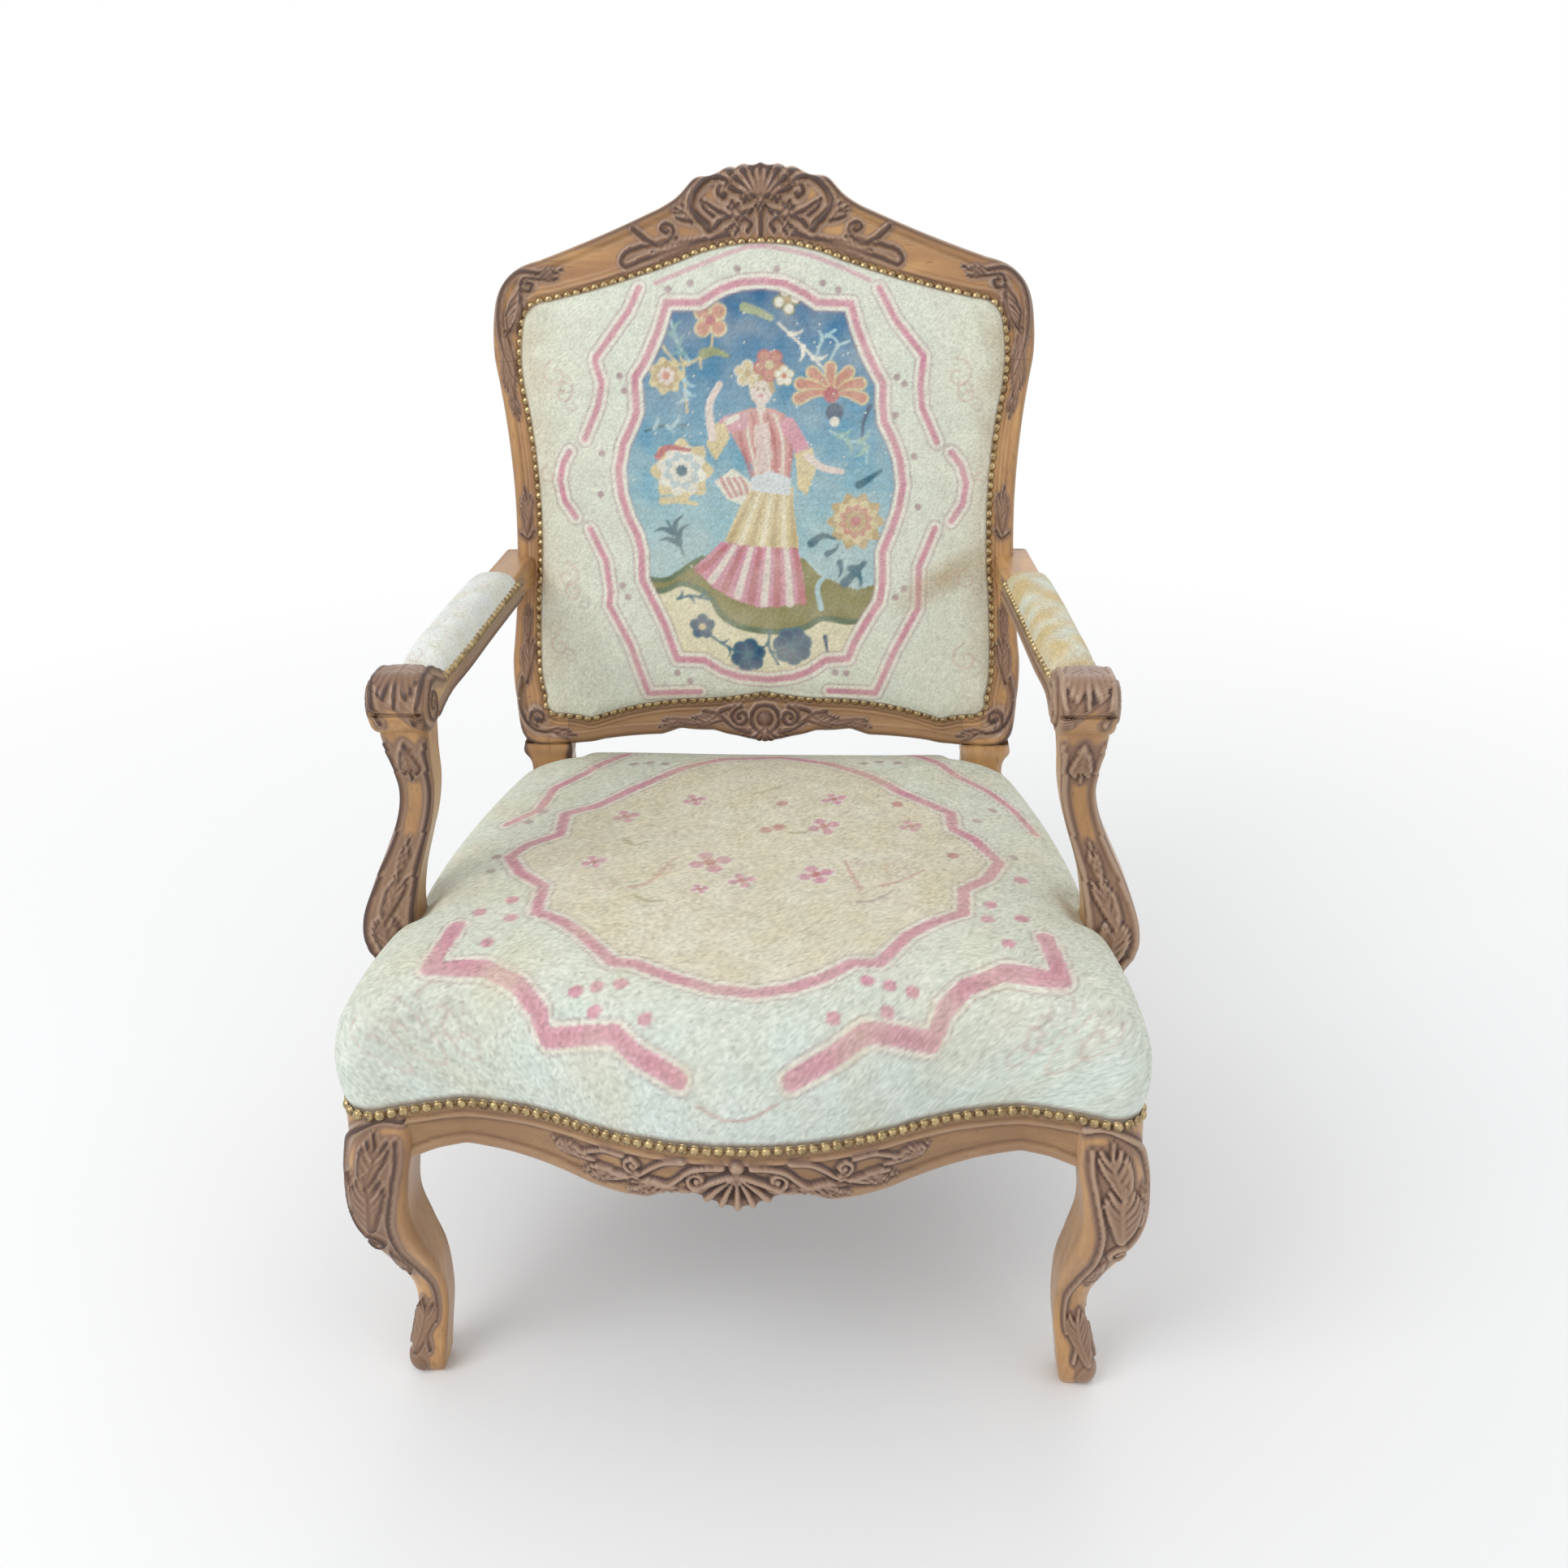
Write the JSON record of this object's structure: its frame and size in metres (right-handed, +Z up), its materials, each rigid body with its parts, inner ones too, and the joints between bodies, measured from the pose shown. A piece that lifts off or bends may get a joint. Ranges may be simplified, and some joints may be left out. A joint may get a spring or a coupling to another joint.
{
  "type": "open armchair",
  "caption": "Open armchair with a carved, pegged wooden frame, cabriole legs, padded arms, and a needlework seat and back.",
  "frame": {"origin": "middle of the chair's bounding box on the floor", "axes": "+Z up, the front faces -Y, +X to the sitter's left"},
  "size_m": [0.702, 0.688, 1.0253],
  "materials": {
    "wood": "waxed carved hardwood, mid brown",
    "plain_wood": "plain sawn hardwood",
    "steel": "dull steel screws",
    "webbing": "woven jute webbing",
    "hessian": "coarse hessian",
    "hair": "curled hair stuffing",
    "tapestry": "needlework cloth in sage, pink and blue",
    "dust_cloth": "plain black cotton",
    "lining_cloth": "plain sage cloth"
  },
  "bodies": {
    "root": {"front_leg_left": "wood", "front_leg_right": "wood", "back_post_left": "wood", "back_post_right": "wood", "front_seat_rail": "wood", "side_seat_rail_left": "wood", "side_seat_rail_right": "wood", "rear_seat_rail": "wood", "crest_rail": "wood", "lower_back_rail": "wood", "arm_left": "wood", "arm_right": "wood", "arm_support_left": "wood", "arm_support_right": "wood", "corner_blocks": "plain_wood", "seat_frame_pegs": "plain_wood", "back_frame_pegs": "plain_wood", "arm_screws": "steel", "arm_support_screws": "steel", "seat_webbing": "webbing", "seat_hessian": "hessian", "seat_stuffing": "hair", "seat_cover": "tapestry", "seat_bottom_cloth": "dust_cloth", "back_webbing": "webbing", "back_stuffing": "hair", "back_cover": "tapestry", "outside_back_cover": "lining_cloth", "arm_pad_stuffing_left": "hair", "arm_pad_stuffing_right": "hair", "arm_pad_cover_left": "tapestry", "arm_pad_cover_right": "tapestry"}
  },
  "joints": []
}
